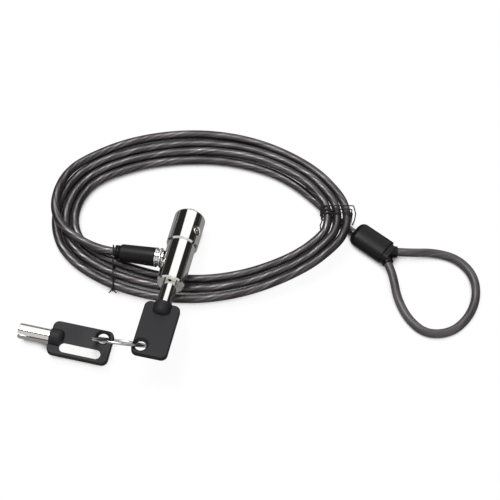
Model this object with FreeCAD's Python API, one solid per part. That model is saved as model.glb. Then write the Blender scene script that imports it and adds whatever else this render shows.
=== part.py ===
# Keyed cable lock for a portable computer, lying coiled on a flat surface.
# Millimetres, +Z up, +X to the right and +Y away from the viewer.
# The origin is on the surface, under the middle of the lock head with its two keys.
import FreeCAD, Part
import math
import os

from FreeCAD import Placement, Rotation, Vector

os.makedirs("parts", exist_ok=True)

# Lock housing, measured along its own axis from the key end to the nose
body_diameter = 16.4
lock_length = 49.6
head_diameter = 18.4
head_length = 18.0
head_back_chamfer = 0.75
nose_round = 2.0
spigot_diameter = 15.2
edge_chamfer = 0.8

# Nose
nose_wall = 2.6
pad_diameter = 13.4
pad_opening = 8.2
pad_thickness = 1.0
pad_stand_out = 0.3
lug_width = 2.6
lug_span = 6.6
lug_height = 1.7
neck_diameter = 2.8
bar_length = 6.6
bar_width = 2.7
bar_thickness = 1.7
bar_gap = 2.2

# Tubular lock mechanism
face_lip = 1.8
keyway_post_diameter = 5.2
shear_station = 10.0
core_diameter = 10.4
shell_diameter = 11.6
shell_length = 8.0
tail_diameter = 5.0
tail_length = 17.0
pin_count = 7
pin_diameter = 1.36
pin_circle = 7.2
driver_length = 3.0
clip_diameter = 8.2
clip_thickness = 0.8
clip_groove_depth = 0.4
clip_grip = 0.6
spindle_diameter = 5.4
tang_width = 1.9
tang_length = 2.6
key_cut_depths = (1.9, 0.9, 1.5, 0.7, 2.1, 1.2, 1.7)

# Cross pin in the side of the head
cross_pin_diameter = 3.6
cross_pin_recess = 5.9
cross_pin_recess_depth = 0.6
cross_pin_from_nose = 12.9
cross_pin_turn = 49.0
cross_pin_sink = 3.6

# Cable swivel on the side of the body
stud_station = 17.7
stud_droop = 6.5
stud_root_diameter = 4.6
stud_root_depth = 1.6
stud_flange_diameter = 9.0
stud_flange_thickness = 0.9
stud_neck_diameter = 4.4
stud_head_diameter = 7.0
stud_head_thickness = 1.4
ferrule_diameter = 11.8
ferrule_length = 4.0
ferrule_wall = 1.5

# Strain relief boot
boot_diameter = 11.2
boot_end_diameter = 10.0
boot_length = 21.1
boot_neck_diameter = 6.4
boot_neck_length = 3.0
boot_rib_diameter = 8.2
boot_rib_width = 0.8

# Tubular key
barrel_diameter = 8.8
barrel_bore = 5.7
barrel_length = 18.1
barrel_root = 6.0
barrel_seam = 0.6
cut_width = 1.6
nib_height = 1.0
nib_root = 0.5
nib_width = 1.7
nib_length = 1.6
nib_set_back = 0.5
insert_depth = 4.0
bow_length = 35.6
bow_width = 20.6
bow_thickness = 3.6
bow_corner = 3.6
bow_edge = 0.7
boss_diameter = 11.0
boss_length = 8.2
ring_hole_diameter = 6.4
ring_hole_chamfer = 1.35
ring_hole_side = 5.6
ring_hole_end = 6.0
tag_length = 24.0
tag_width = 5.6
tag_depth = 1.0
tag_side = 5.4
tag_from_root = 7.0

# Key ring
ring_diameter = 33.15
ring_wire = 1.6
ring_lean = -31.3

# How the lock lies: its axis runs away from the viewer and down to the nose
lock_yaw = 12.6
lock_pitch = 9.0
key_end_x = 33.54
key_end_y = -1.34

# How the spare key lies
spare_tip_x = -51.86
spare_tip_y = -24.94
spare_heading = 167.2

# Cable
cable_diameter = 5.0
# Where the outermost strand of the coil passes, and its heading there in degrees:
# at the far left, the far right, the near right and the near left
coil_anchors = (
    (-9.2, 94.3, 21.6),
    (128.3, 68.2, -52.3),
    (125.4, 23.7, -141.6),
    (-17.0, 14.1, 147.1),
)
coil_quarters = 12
coil_pitch = 5.6
# How much more or less than its pitches each pass lies further in, turn by turn
coil_shifts = (
    (0.0, 0.0, 0.0, 0.0),
    (-0.11, 0.03, -0.12, -0.17),
    (-0.11, 0.16, -0.17, -0.17),
    (0.13, 0.0, 0.0, 0.0),
)
# Height of each pass over the surface, turn by turn
coil_heights = (
    (3.84, 6.37, 10.59, 4.68),
    (3.46, 8.65, 9.03, 3.4),
    (3.4, 10.6, 7.25, 3.4),
    (4.09, 0.0, 0.0, 0.0),
)
coil_climbs = (0.0, 0.11, -0.11, 0.0)
coil_middle = 60.0
lead_straight = 6.0
lead_route = (
    (-15.3, 28.4, 9.0),
    (-26.9, 35.6, 9.8),
    (-34.9, 46.0, 10.1),
    (-36.4, 59.0, 9.9),
    (-31.6, 75.3, 8.2),
    (-20.9, 88.8, 3.84),
)
tail_route = (
    (13.1, 84.6, 3.9),
    (27.0, 87.1, 3.4),
    (40.0, 88.6, 3.2),
    (62.6, 88.4, 3.2),
    (86.6, 82.5, 3.2),
    (103.6, 73.7, 3.3),
    (118.4, 60.3, 3.4),
)
tail_straight = 9.0

# Moulded crimp sleeve and the eye beyond it
sleeve_start_x = 140.3
sleeve_start_y = 38.6
sleeve_heading = -37.7
sleeve_axis_height = 5.0
sleeve_length = 23.0
sleeve_width = 13.6
sleeve_height = 9.6
sleeve_round = 4.2
sleeve_entry_drop = 1.5
collar_length = 3.2
collar_inset = 0.5
socket_diameter = 6.8
socket_reach = 3.4
socket_side = 2.7
socket_splay = 35.0
eye_route = (
    (187.1, 26.3, 2.6),
    (199.6, 20.8, 2.55),
    (208.4, 10.3, 2.5),
    (210.6, -2.7, 2.5),
    (204.6, -15.2, 2.5),
    (193.9, -23.5, 2.5),
    (181.4, -24.3, 2.5),
    (170.9, -16.7, 2.55),
    (164.4, -4.2, 2.6),
)

# Twist ties
tie_wire = 0.7
tie_slack = 0.3
tie_from_boot = 1.2
tie_right_y = 49.2
tie_spacing = 2.2
tie_strand_gap = 0.05
tie_bend = 1.4

# Clearances
running_fit = 0.05
seat_gap = 0.02
slide_gap = 0.2
free_gap = 0.3


def write(shape, name):
    shape.exportStep("parts/" + name + ".step")
    return shape


def cylinder(diameter, length, start=0.0):
    """A cylinder on the Z axis from the height start."""
    return Part.makeCylinder(diameter / 2, length, Vector(0, 0, start))


def tube(outer, inner, length, start=0.0):
    return cylinder(outer, length, start).cut(cylinder(inner, length + 2, start - 1))


def box(x_size, y_size, z_size, x_mid=0.0, y_mid=0.0, z_low=0.0):
    """A box centred at x_mid and y_mid that stands on z_low."""
    corner = Vector(x_mid - x_size / 2, y_mid - y_size / 2, z_low)
    return Part.makeBox(x_size, y_size, z_size, corner)


def circular_edges(shape, radius, station):
    """The full circles of one radius in the plane at one station."""
    found = []
    for edge in shape.Edges:
        curve = edge.Curve
        if isinstance(curve, Part.Circle) and abs(curve.Radius - radius) < 1e-4:
            if abs(curve.Center.z - station) < 1e-4:
                found.append(edge)
    return found


def along_x(shape, angle, station):
    """Turn a shape built on Z so that it points out sideways from the Z axis."""
    moved = shape.copy()
    moved.rotate(Vector(0, 0, 0), Vector(0, 1, 0), 90)
    moved.rotate(Vector(0, 0, 0), Vector(0, 0, 1), angle)
    moved.translate(Vector(0, 0, station))
    return moved


def placed(shape, placement):
    moved = shape.copy()
    moved.Placement = placement.multiply(moved.Placement)
    return moved


# Frames of the lock and of the two keys
def lock_frame():
    """Local Z is the lock's axis towards the nose, X points left and Y up."""
    yaw = math.radians(lock_yaw)
    pitch = math.radians(lock_pitch)
    axis = Vector(
        math.sin(yaw) * math.cos(pitch),
        math.cos(yaw) * math.cos(pitch),
        -math.sin(pitch),
    )
    left = Vector(-math.cos(yaw), math.sin(yaw), 0)
    up = axis.cross(left)
    # The rounded rim of the nose touches the surface.
    rim_radius = head_diameter / 2 - nose_round
    height = nose_round + rim_radius * math.cos(pitch)
    height += (lock_length - nose_round) * math.sin(pitch)
    base = Vector(key_end_x, key_end_y, height)
    return Placement(base, Rotation(left, up, axis, "ZXY"))


def key_frame(lock):
    """The inserted key's tip lies insert_depth inside the lock's face."""
    return lock.multiply(Placement(Vector(0, 0, insert_depth), Rotation()))


def spare_frame():
    """The spare key lies on its boss with the number tag up."""
    turn = math.radians(spare_heading)
    axis = Vector(math.cos(turn), math.sin(turn), 0)
    down = Vector(0, 0, -1)
    side = down.cross(axis)
    base = Vector(spare_tip_x, spare_tip_y, boss_diameter / 2)
    return Placement(base, Rotation(side, down, axis, "ZXY"))


# Lock housing
def pin_directions():
    for index in range(pin_count):
        angle = math.radians(90 + 360 / pin_count * (index + 0.5))
        yield Vector(math.cos(angle), math.sin(angle), 0)


def stud_seat_radius():
    """Distance from the lock's axis to the flat that the swivel stud sits on."""
    return body_diameter / 2 - 0.3


def lock_body():
    shoulder = lock_length - head_length
    body = cylinder(body_diameter, shoulder)
    body = body.makeChamfer(edge_chamfer, circular_edges(body, body_diameter / 2, 0))
    spigot_end = lock_length - nose_wall - free_gap
    body = body.fuse(cylinder(spigot_diameter, spigot_end - shoulder, shoulder))
    # Keyway mouth, index slot and the groove that the key's nib turns in
    mouth = barrel_diameter + 2 * slide_gap
    nib_reach = barrel_diameter / 2 + nib_height + slide_gap
    body = body.cut(cylinder(mouth, face_lip + 1, -0.5))
    slot_width = nib_width + 2 * slide_gap
    body = body.cut(box(slot_width, nib_reach, face_lip + 1, 0, nib_reach / 2, -0.5))
    groove_length = insert_depth + slide_gap - face_lip
    body = body.cut(cylinder(2 * nib_reach, groove_length, face_lip))
    # Bores for the turning core, the fixed pin shell and the drive to the nose
    core_seat = insert_depth + slide_gap
    core_bore = core_diameter + 2 * running_fit
    body = body.cut(cylinder(core_bore, shear_station - core_seat, core_seat))
    shell_bore = shell_diameter + 2 * seat_gap
    shell_end = shear_station + free_gap + shell_length
    body = body.cut(cylinder(shell_bore, shell_end - shear_station, shear_station))
    clip_room = clip_diameter + 2 * slide_gap
    clip_end = shell_end + clip_thickness + 2 * free_gap
    body = body.cut(cylinder(clip_room, clip_end - shell_end, shell_end))
    drive_bore = spindle_diameter + 2 * running_fit
    body = body.cut(cylinder(drive_bore, lock_length, clip_end))
    # Seat of the swivel stud
    flat = cylinder(stud_flange_diameter + 1.0, 5, stud_seat_radius())
    body = body.cut(along_x(flat, -stud_droop, stud_station))
    root = cylinder(
        stud_root_diameter + 2 * seat_gap,
        stud_root_depth + 1,
        stud_seat_radius() - stud_root_depth - seat_gap,
    )
    body = body.cut(along_x(root, -stud_droop, stud_station))
    # Seat of the cross pin
    pin_hole = cylinder(cross_pin_diameter + 2 * seat_gap, head_diameter, cross_pin_start())
    body = body.cut(along_x(pin_hole, 90 + cross_pin_turn, cross_pin_station()))
    return body


def cross_pin_station():
    return lock_length - cross_pin_from_nose


def cross_pin_start():
    return spigot_diameter / 2 - cross_pin_sink


def head_sleeve():
    start = lock_length - head_length + seat_gap
    head = cylinder(head_diameter, lock_length - start, start)
    rim = circular_edges(head, head_diameter / 2, lock_length)
    head = head.makeFillet(nose_round, rim)
    back = circular_edges(head, head_diameter / 2, start)
    head = head.makeChamfer(head_back_chamfer, back)
    bore = spigot_diameter + 2 * seat_gap
    head = head.cut(cylinder(bore, head_length - nose_wall, start))
    head = head.cut(cylinder(pad_opening, 2 * nose_wall, lock_length - nose_wall - 1))
    seat = pad_thickness - pad_stand_out
    head = head.cut(cylinder(pad_diameter, seat + 1, lock_length - seat))
    pin_hole = cylinder(cross_pin_diameter + 2 * seat_gap, head_diameter, cross_pin_start())
    recess_start = head_diameter / 2 - cross_pin_recess_depth
    recess = cylinder(cross_pin_recess, head_diameter, recess_start)
    cut = pin_hole.fuse(recess)
    return head.cut(along_x(cut, 90 + cross_pin_turn, cross_pin_station()))


def nose_pad():
    start = lock_length - pad_thickness + pad_stand_out + seat_gap
    opening = pad_opening
    pad = tube(pad_diameter - 2 * seat_gap, opening, pad_thickness - seat_gap, start)
    rim = circular_edges(pad, pad_diameter / 2 - seat_gap, lock_length + pad_stand_out)
    return pad.makeFillet(pad_stand_out * 0.9, rim)


def guard_block():
    """Fixed block in the nose whose two lugs fill the slot beside the bar's neck."""
    start = lock_length - nose_wall
    block = cylinder(pad_opening - 2 * seat_gap, nose_wall, start)
    block = block.fuse(box(lug_width, lug_span, nose_wall + lug_height, 0, 0, start))
    hole = neck_diameter + 2 * running_fit
    return block.cut(cylinder(hole, nose_wall + lug_height + 2, start - 1))


def cross_pin():
    start = cross_pin_start() + seat_gap
    end = head_diameter / 2 - 0.1
    pin = cylinder(cross_pin_diameter, end - start, start)
    rim = circular_edges(pin, cross_pin_diameter / 2, end)
    pin = pin.makeFillet(0.4, rim)
    pin = pin.cut(cylinder(1.0, 0.5, end - 0.35))
    return along_x(pin, 90 + cross_pin_turn, cross_pin_station())


def pin_shell():
    """Fixed pin shell behind the core, with a blind hole for each driver pin."""
    start = shear_station + free_gap
    shell = tube(shell_diameter, tail_diameter + 2 * running_fit, shell_length, start)
    hole = pin_diameter + 2 * running_fit
    for direction in pin_directions():
        bored = cylinder(hole, shell_length - 1.0 + 1.0, start - 1.0)
        bored.translate(direction * (pin_circle / 2))
        shell = shell.cut(bored)
    return shell


def driver_pin(direction):
    pin = cylinder(pin_diameter, driver_length, shear_station + free_gap + 0.1)
    pin.translate(direction * (pin_circle / 2))
    return pin


# Turning core with its key pins
def plug_core():
    face = insert_depth + free_gap
    core = cylinder(core_diameter, shear_station - face, face)
    core = core.fuse(cylinder(keyway_post_diameter, face - 0.4, 0.4))
    core = core.fuse(cylinder(tail_diameter, tail_length, shear_station))
    hole = pin_diameter + 2 * running_fit
    for direction in pin_directions():
        bored = cylinder(hole, shear_station, face - 1)
        bored.translate(direction * (pin_circle / 2))
        core = core.cut(bored)
    end = shear_station + tail_length
    slot = box(tang_width + 2 * running_fit, tail_diameter + 2, tang_length + 1, 0, 0, end - tang_length)
    core = core.cut(slot)
    width = clip_thickness + 2 * running_fit
    groove = tube(tail_diameter + 1, groove_diameter(), width, clip_station() - running_fit)
    return core.cut(groove)


def clip_station():
    return shear_station + free_gap + shell_length + free_gap


def groove_diameter():
    return tail_diameter - 2 * clip_groove_depth


def core_clip():
    """Snap ring in the groove of the core's tail, open on one side."""
    start = clip_station()
    clip = tube(clip_diameter, groove_diameter() + 2 * running_fit, clip_thickness, start)
    gap = groove_diameter() - clip_grip
    mouth = box(gap, clip_diameter, clip_thickness + 2, 0, -clip_diameter / 2, start - 1)
    return clip.cut(mouth)


def key_pin(direction, cut_depth):
    start = insert_depth - cut_depth + 0.12
    pin = cylinder(pin_diameter, shear_station - start, start)
    pin.translate(direction * (pin_circle / 2))
    return pin


def locking_bar():
    """Spindle with the cross bar that turns behind the slot in the computer's case."""
    start = shear_station + tail_length + free_gap
    end = lock_length - nose_wall - 2 * free_gap
    spindle = cylinder(spindle_diameter, end - start, start)
    tang = box(tang_width, tail_diameter - 0.6, tang_length, 0, 0, start - tang_length + 0.2)
    bar_start = lock_length + bar_gap
    neck = cylinder(neck_diameter, bar_start - end + 0.2, end - 0.1)
    bar = box(bar_width, bar_length, bar_thickness, 0, 0, bar_start)
    ends = cylinder(bar_length, bar_thickness, bar_start)
    bar = bar.common(ends)
    return spindle.fuse([tang, neck, bar])


# Cable swivel
def swivel_stud():
    seat = stud_seat_radius() + seat_gap
    stud = cylinder(stud_root_diameter, stud_root_depth, seat - stud_root_depth)
    stud = stud.fuse(cylinder(stud_flange_diameter, stud_flange_thickness, seat))
    neck_start = seat + stud_flange_thickness
    head_start = neck_start + running_fit + ferrule_wall + 2 * free_gap
    stud = stud.fuse(cylinder(stud_neck_diameter, head_start - neck_start, neck_start))
    stud = stud.fuse(cylinder(stud_head_diameter, stud_head_thickness, head_start))
    return along_x(stud, -stud_droop, stud_station)


def ferrule_start():
    return stud_seat_radius() + seat_gap + stud_flange_thickness + free_gap


def swivel_ferrule():
    start = ferrule_start()
    ferrule = cylinder(ferrule_diameter, ferrule_length, start)
    for station in (start, start + ferrule_length):
        ring = circular_edges(ferrule, ferrule_diameter / 2, station)
        ferrule = ferrule.makeFillet(0.6, ring)
    bore = stud_neck_diameter + 2 * running_fit
    ferrule = ferrule.cut(cylinder(bore, ferrule_length, start - 1))
    cavity = stud_head_diameter + 2 * free_gap
    ferrule = ferrule.cut(cylinder(cavity, ferrule_length, start + ferrule_wall))
    return along_x(ferrule, -stud_droop, stud_station)


def strain_relief():
    """Moulded boot: a tapered barrel, then a slim ribbed neck where the cable leaves."""
    start = ferrule_start() + ferrule_length
    end = start + boot_length
    spigot = cylinder(stud_head_diameter + 2 * free_gap - 2 * seat_gap, 0.7, start - 0.7)
    barrel = Part.makeCone(
        boot_diameter / 2, boot_end_diameter / 2, boot_length, Vector(0, 0, start)
    )
    far = circular_edges(barrel, boot_end_diameter / 2, end)
    barrel = barrel.makeFillet(1.2, far)
    boot = barrel.fuse(spigot)
    boot = boot.fuse(cylinder(boot_neck_diameter, boot_neck_length + 0.5, end - 0.5))
    for step in (0.7, 2.0):
        boot = boot.fuse(cylinder(boot_rib_diameter, boot_rib_width, end + step))
    return along_x(boot, -stud_droop, stud_station)


def boot_end(lock):
    """The centre of the boot's end face and the direction in which the cable leaves."""
    reach = ferrule_start() + ferrule_length + boot_length + boot_neck_length
    angle = math.radians(-stud_droop)
    direction = Vector(math.cos(angle), math.sin(angle), 0)
    point = direction * reach + Vector(0, 0, stud_station)
    return lock.multVec(point), lock.Rotation.multVec(direction)


# Keys, built with the tip at the origin and the bow towards -Z
def key_barrel():
    barrel = tube(barrel_diameter, barrel_bore, barrel_length + barrel_root, -barrel_length - barrel_root)
    height = nib_height + nib_root
    out = barrel_diameter / 2 - nib_root + height / 2
    nib = box(nib_width, height, nib_length, 0, out, -nib_set_back - nib_length)
    barrel = barrel.fuse(nib)
    for direction, depth in zip(pin_directions(), key_cut_depths):
        cut = box(cut_width, barrel_diameter, depth + 1, 0, barrel_diameter / 2, -depth)
        angle = math.degrees(math.atan2(direction.y, direction.x)) - 90
        cut.rotate(Vector(0, 0, 0), Vector(0, 0, 1), angle)
        barrel = barrel.cut(cut)
    length = barrel_length + barrel_root
    seam = box(barrel_seam, barrel_diameter, length + 1, 0, barrel_diameter / 2, -length - 0.5)
    seam.rotate(Vector(0, 0, 0), Vector(0, 0, 1), 128)
    return barrel.cut(seam)


def bow_outline(thickness):
    """Rounded rectangle, centred on the key's axis, with its thickness along Y."""
    start = -barrel_length
    slab = box(bow_width, thickness, bow_length, 0, 0, start - bow_length)
    corners = []
    for edge in slab.Edges:
        ends = [vertex.Point for vertex in edge.Vertexes]
        if abs(ends[0].x - ends[1].x) < 1e-6 and abs(ends[0].z - ends[1].z) < 1e-6:
            corners.append(edge)
    return slab.makeFillet(bow_corner, corners)


def key_bow():
    start = -barrel_length
    bow = bow_outline(bow_thickness)
    rims = []
    for edge in bow.Edges:
        if all(abs(abs(v.Point.y) - bow_thickness / 2) < 1e-6 for v in edge.Vertexes):
            rims.append(edge)
    bow = bow.makeFillet(bow_edge, rims)
    boss = cylinder(boss_diameter, boss_length, start - boss_length)
    boss = boss.makeFillet(1.0, circular_edges(boss, boss_diameter / 2, start))
    inner_end = circular_edges(boss, boss_diameter / 2, start - boss_length)
    boss = boss.makeFillet(boss_diameter / 2 - bow_thickness / 2 - 0.4, inner_end)
    bow = bow.fuse(boss)
    # Seat of the barrel
    seat = barrel_root + seat_gap
    bow = bow.cut(cylinder(barrel_diameter + 2 * seat_gap, seat + 1, start - seat))
    # Ring hole with wide chamfers on both faces
    end = start - bow_length
    hole = cylinder(ring_hole_diameter, bow_thickness + 2, -bow_thickness / 2 - 1)
    wide = ring_hole_diameter / 2 + ring_hole_chamfer
    for side in (-1, 1):
        low = side * bow_thickness / 2
        cone = Part.makeCone(
            wide,
            ring_hole_diameter / 2,
            ring_hole_chamfer,
            Vector(0, 0, low),
            Vector(0, 0, -side),
        )
        hole = hole.fuse(cone)
    hole.rotate(Vector(0, 0, 0), Vector(1, 0, 0), 90)
    hole.translate(Vector(ring_hole_side, 0, end + ring_hole_end))
    bow = bow.cut(hole)
    return bow.cut(tag_shape(0.0, tag_depth + 1))


def tag_shape(inset, depth):
    """Stadium in the -Y face, for the number tag's pocket and for the tag itself."""
    width = tag_width - 2 * inset
    low = -barrel_length - tag_from_root - tag_length + inset + width / 2
    high = -barrel_length - tag_from_root - inset - width / 2
    outline = box(width, depth, high - low, 0, 0, low)
    for station in (low, high):
        end = cylinder(width, depth, -depth / 2)
        end.rotate(Vector(0, 0, 0), Vector(1, 0, 0), 90)
        end.translate(Vector(0, 0, station))
        outline = outline.fuse(end)
    outline = outline.removeSplitter()
    floor = -bow_thickness / 2 + tag_depth
    outline.translate(Vector(-tag_side, floor - depth / 2, 0))
    return outline


def key_tag():
    tag = tag_shape(seat_gap, tag_depth - 0.2)
    tag.translate(Vector(0, -seat_gap, 0))
    return tag


def ring_hole_centre(frame):
    end = -barrel_length - bow_length
    return frame.multVec(Vector(ring_hole_side, 0, end + ring_hole_end))


def ring_frame(first, second):
    """Centre and normal of a ring through both holes, steeper than the chord."""
    chord = second - first
    half = chord.Length / 2
    chord.normalize()
    steep = chord * chord.z - Vector(0, 0, 1)
    steep.normalize()
    level = chord.cross(steep)
    lean = math.radians(ring_lean)
    down = steep * math.cos(lean) + level * math.sin(lean)
    radius = (ring_diameter - ring_wire) / 2
    rise = math.sqrt(max(radius * radius - half * half, 0.0))
    centre = (first + second) * 0.5 - down * rise
    return centre, chord.cross(down)


def key_ring(first, second):
    centre, normal = ring_frame(first, second)
    radius = (ring_diameter - ring_wire) / 2
    return Part.makeTorus(radius, ring_wire / 2, centre, normal)


# Cable routes
def rounded_route(points):
    """Straight runs joined by tangent arcs, each as large as its two runs allow."""
    edges = []
    radii = []
    start = points[0]
    for before, corner, after in zip(points, points[1:], points[2:]):
        back = before - corner
        ahead = after - corner
        reach = 0.45 * min(back.Length, ahead.Length)
        turn = math.pi - back.getAngle(ahead)
        back.normalize()
        ahead.normalize()
        radius = reach / math.tan(turn / 2)
        inside = back + ahead
        inside.normalize()
        depth = math.hypot(reach, radius) - radius
        first = corner + back * reach
        last = corner + ahead * reach
        edges.append(Part.LineSegment(start, first).toShape())
        edges.append(Part.Arc(first, corner + inside * depth, last).toShape())
        radii.append(radius)
        start = last
    edges.append(Part.LineSegment(start, points[-1]).toShape())
    return Part.Wire(edges), radii


def swept(wire, diameter):
    first = wire.Edges[0]
    start = first.valueAt(first.FirstParameter)
    direction = first.tangentAt(first.FirstParameter)
    ring = Part.Wire(Part.makeCircle(diameter / 2, start, direction))
    return wire.makePipeShell([ring], True, False)


def report_tube(name, solid, wire, radii, diameter):
    section = math.pi * diameter * diameter / 4
    print(name, "length", round(wire.Length, 1), "valid", solid.isValid(), end=" ")
    print("volume ratio", round(solid.Volume / (section * wire.Length), 4), end=" ")
    print("least radius", round(min(radii), 1) if radii else None)


def free_tube(name, points):
    wire, radii = rounded_route(points)
    solid = swept(wire, cable_diameter)
    report_tube(name, solid, wire, radii, cable_diameter)
    write(solid, name)
    return wire


def coil_anchor(quarter):
    """Point and direction of the coil at a whole quarter turn: each turn lies inside the last."""
    turn = quarter // 4
    side = quarter % 4
    x, y, heading = coil_anchors[side]
    inset = coil_pitch * turn + coil_shifts[turn][side]
    angle = math.radians(heading)
    inwards = Vector(math.sin(angle), -math.cos(angle), 0)
    point = Vector(x, y, coil_heights[turn][side]) + inwards * inset
    climb = coil_climbs[side]
    direction = Vector(math.cos(angle), math.sin(angle), climb)
    direction.normalize()
    return point, direction


def biarc(start, start_tangent, end, end_tangent):
    """Two tangent arcs from one point and direction to another."""
    chord = end - start
    total = start_tangent + end_tangent
    a = 2 * (start_tangent.dot(end_tangent) - 1)
    b = -2 * chord.dot(total)
    c = chord.dot(chord)
    reach = (-b - math.sqrt(b * b - 4 * a * c)) / (2 * a)
    first_knee = start + start_tangent * reach
    second_knee = end - end_tangent * reach
    middle = (first_knee + second_knee) * 0.5
    edges = []
    for low, knee, high in ((start, first_knee, middle), (middle, second_knee, end)):
        back = low - knee
        ahead = high - knee
        turn = math.pi - back.getAngle(ahead)
        radius = back.Length / math.tan(turn / 2)
        inside = back + ahead
        inside.normalize()
        depth = math.hypot(back.Length, radius) - radius
        edges.append(Part.Arc(low, knee + inside * depth, high).toShape())
    return edges


def coil_wire(start_tangent, end_tangent):
    stops = [coil_anchor(quarter) for quarter in range(coil_quarters + 1)]
    stops[0] = (stops[0][0], start_tangent)
    stops[-1] = (stops[-1][0], end_tangent)
    edges = []
    for first, second in zip(stops, stops[1:]):
        edges += biarc(first[0], first[1], second[0], second[1])
    return Part.Wire(edges)


def least_gap(wire):
    """The least distance between strands, less the cable's diameter."""
    spacing = 2.0
    points = []
    for edge in wire.OrderedEdges:
        points += edge.discretize(max(3, int(edge.Length / spacing)))[:-1]
    skip = int(8 * cable_diameter / spacing)
    least = None
    for index, point in enumerate(points):
        for other in points[index + skip :]:
            distance = point.distanceToPoint(other)
            if least is None or distance < least:
                least = distance
                where = point
    return least - cable_diameter, where


# Crimp sleeve
def sleeve_frame():
    """Local X runs along the sleeve, Y across it and Z up."""
    base = Vector(sleeve_start_x, sleeve_start_y, sleeve_axis_height)
    return Placement(base, Rotation(Vector(0, 0, 1), sleeve_heading))


def rounded_bar(length, width, height, corner, start):
    bar = Part.makeBox(length, width, height, Vector(start, -width / 2, -height / 2))
    edges = []
    for edge in bar.Edges:
        ends = [vertex.Point for vertex in edge.Vertexes]
        if abs(ends[0].x - ends[1].x) > length / 2:
            edges.append(edge)
    return bar.makeFillet(corner, edges)


def crimp_sleeve():
    sleeve = rounded_bar(sleeve_length, sleeve_width, sleeve_height, sleeve_round, 0)
    front = []
    for edge in sleeve.Edges:
        if all(abs(vertex.Point.x) < 1e-6 for vertex in edge.Vertexes):
            front.append(edge)
    return sleeve.makeFillet(2.0, front)


def socket_end(frame, side):
    """The centre of one socket's face and the direction in which the cable leaves."""
    angle = math.radians(side * socket_splay)
    direction = Vector(math.cos(angle), math.sin(angle), 0)
    base = Vector(sleeve_length + collar_length - 1.2, side * socket_side, 0)
    point = base + direction * socket_reach
    return frame.multVec(point), frame.Rotation.multVec(direction)


def sleeve_collar():
    """Stepped end of the sleeve, with a splayed socket for each strand of the eye."""
    width = sleeve_width - 2 * collar_inset
    height = sleeve_height - 2 * collar_inset
    corner = sleeve_round - collar_inset
    start = sleeve_length + seat_gap
    collar = rounded_bar(collar_length, width, height, corner, start)
    for side in (-1, 1):
        angle = side * socket_splay
        socket = cylinder(socket_diameter, socket_reach + 2, -2)
        socket.rotate(Vector(0, 0, 0), Vector(0, 1, 0), 90)
        socket.rotate(Vector(0, 0, 0), Vector(0, 0, 1), angle)
        socket.translate(Vector(sleeve_length + collar_length - 1.2, side * socket_side, 0))
        collar = collar.fuse(socket)
    # Nothing of the collar reaches back into the sleeve.
    keep = Part.makeBox(30, 40, 40, Vector(start, -20, -20))
    return collar.common(keep)


# Twist ties
def crossings(wire, axis, value):
    """Where a wire passes through the upright plane at one X or one Y."""
    found = []
    for edge in wire.OrderedEdges:
        points = edge.discretize(12)
        for first, second in zip(points, points[1:]):
            low = getattr(first, axis) - value
            high = getattr(second, axis) - value
            if low * high < 0:
                found.append(first + (second - first) * (low / (low - high)))
    return found


def cornered_route(points, radius):
    """Straight runs joined by tangent arcs of one radius, smaller where a run is short."""
    edges = []
    start = points[0]
    for before, corner, after in zip(points, points[1:], points[2:]):
        back = before - corner
        ahead = after - corner
        turn = math.pi - back.getAngle(ahead)
        reach = min(radius * math.tan(turn / 2), 0.45 * min(back.Length, ahead.Length))
        tight = reach / math.tan(turn / 2)
        back.normalize()
        ahead.normalize()
        inside = back + ahead
        inside.normalize()
        depth = math.hypot(reach, tight) - tight
        first = corner + back * reach
        last = corner + ahead * reach
        edges.append(Part.LineSegment(start, first).toShape())
        edges.append(Part.Arc(first, corner + inside * depth, last).toShape())
        start = last
    edges.append(Part.LineSegment(start, points[-1]).toShape())
    return Part.Wire(edges)


def left_tie(lead, coil):
    """One wrap round the lead and the bundle beside the boot, with its ends twisted outside."""
    plane = lead.Edges[0].valueAt(lead.Edges[0].FirstParameter).x - tie_from_boot
    top = crossings(lead, "x", plane)[0]
    strands = [point for point in crossings(coil, "x", plane) if point.y < top.y]
    near = min(strands, key=lambda point: point.y)
    reach = (cable_diameter + tie_wire) / 2 + tie_slack
    low = tie_wire / 2 + 0.01
    far_y = top.y + reach
    near_y = near.y - reach
    high = top.z + reach
    side = tie_wire / 2 + tie_strand_gap
    path = [
        Vector(plane + 2.1, near_y - 2.1, near.z - 1.5),
        Vector(plane + 1.1, near_y - 1.6, near.z - 0.6),
        Vector(plane + side, near_y, near.z + 0.6),
        Vector(plane + side, near_y, near.z + reach),
        Vector(plane, top.y - reach, high),
        Vector(plane, far_y, high),
        Vector(plane, far_y, low),
        Vector(plane - side, near_y, low),
        Vector(plane - side, near_y, near.z + 0.4),
        Vector(plane - 1.2, near_y - 1.4, near.z - 0.8),
        Vector(plane - 2.3, near_y - 1.9, near.z - 1.7),
    ]
    return swept(cornered_route(path, tie_bend), tie_wire)


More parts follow.
